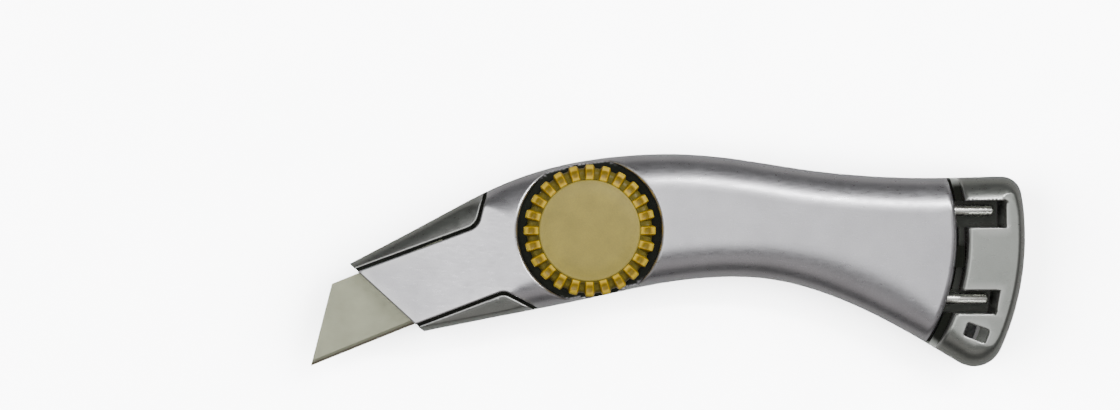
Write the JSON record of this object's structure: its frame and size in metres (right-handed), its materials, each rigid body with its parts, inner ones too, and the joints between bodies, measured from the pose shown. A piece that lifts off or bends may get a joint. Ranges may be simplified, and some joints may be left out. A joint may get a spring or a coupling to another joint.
{
  "type": "utility knife",
  "caption": "Trimming knife with a two-part cast handle, a ribbed thumbwheel that clamps its trapezoid blade, and a hollow grip that holds spare blades.",
  "frame": {"origin": "on the flat outer face of the back shell, under the thumbwheel's axis", "axes": "+X towards the tail, +Y towards the spine, +Z out of the thumbwheel's side, so the knife lies flat on its back shell"},
  "size_m": [0.1988, 0.0592, 0.0232],
  "materials": {
    "silver_casting": "die-cast, satin silver paint",
    "blade_steel": "ground and oiled",
    "bright_steel": "bright zinc plate",
    "amber_plastic": "glossy, slightly see-through amber",
    "frosted_amber": "frosted"
  },
  "bodies": {
    "handle": {"back_shell": "silver_casting", "clamp_stud": "bright_steel", "blade_stop_upper": "bright_steel", "blade_stop_lower": "bright_steel", "dowel_front": "bright_steel", "dowel_rear": "bright_steel", "spare_blade_1": "blade_steel", "spare_blade_2": "blade_steel", "spare_blade_3": "blade_steel", "spare_blade_4": "blade_steel", "spare_blade_5": "blade_steel", "magazine_clip": "bright_steel", "clip_screw": "bright_steel"},
    "lid": {"front_shell": "silver_casting", "hinge_pin_upper": "bright_steel", "hinge_pin_lower": "bright_steel"},
    "washer": {"thrust_washer": "bright_steel"},
    "wheel": {"thumbwheel": "amber_plastic", "wheel_nut": "bright_steel", "wheel_cap": "frosted_amber"},
    "blade": {"blade": "blade_steel"}
  },
  "joints": [
    {"name": "washer_lift", "type": "slide", "parent": "handle", "child": "washer", "axis": [0, 0, 1], "range_m": [0, 0.005]},
    {"name": "wheel_turn", "type": "hinge", "parent": "washer", "child": "wheel", "pos_m": [0, 0, 0.0153], "axis": [0, 0, 1], "range_deg": [0, 1440]},
    {"name": "lid_open", "type": "hinge", "parent": "handle", "child": "lid", "pos_m": [0.1028, 0, 0.0115], "axis": [0, 1, 0], "range_deg": [0, 2.5]},
    {"name": "blade_draw", "type": "slide", "parent": "handle", "child": "blade", "axis": [-0.9272, -0.3746, 0], "range_m": [0, 0.034]}
  ],
  "couplings": [
    {"joint": "washer_lift", "follows": "wheel_turn", "m_per_rad": 0.00019894},
    {"joint": "lid_open", "follows": "wheel_turn", "ratio": 0.001736}
  ]
}
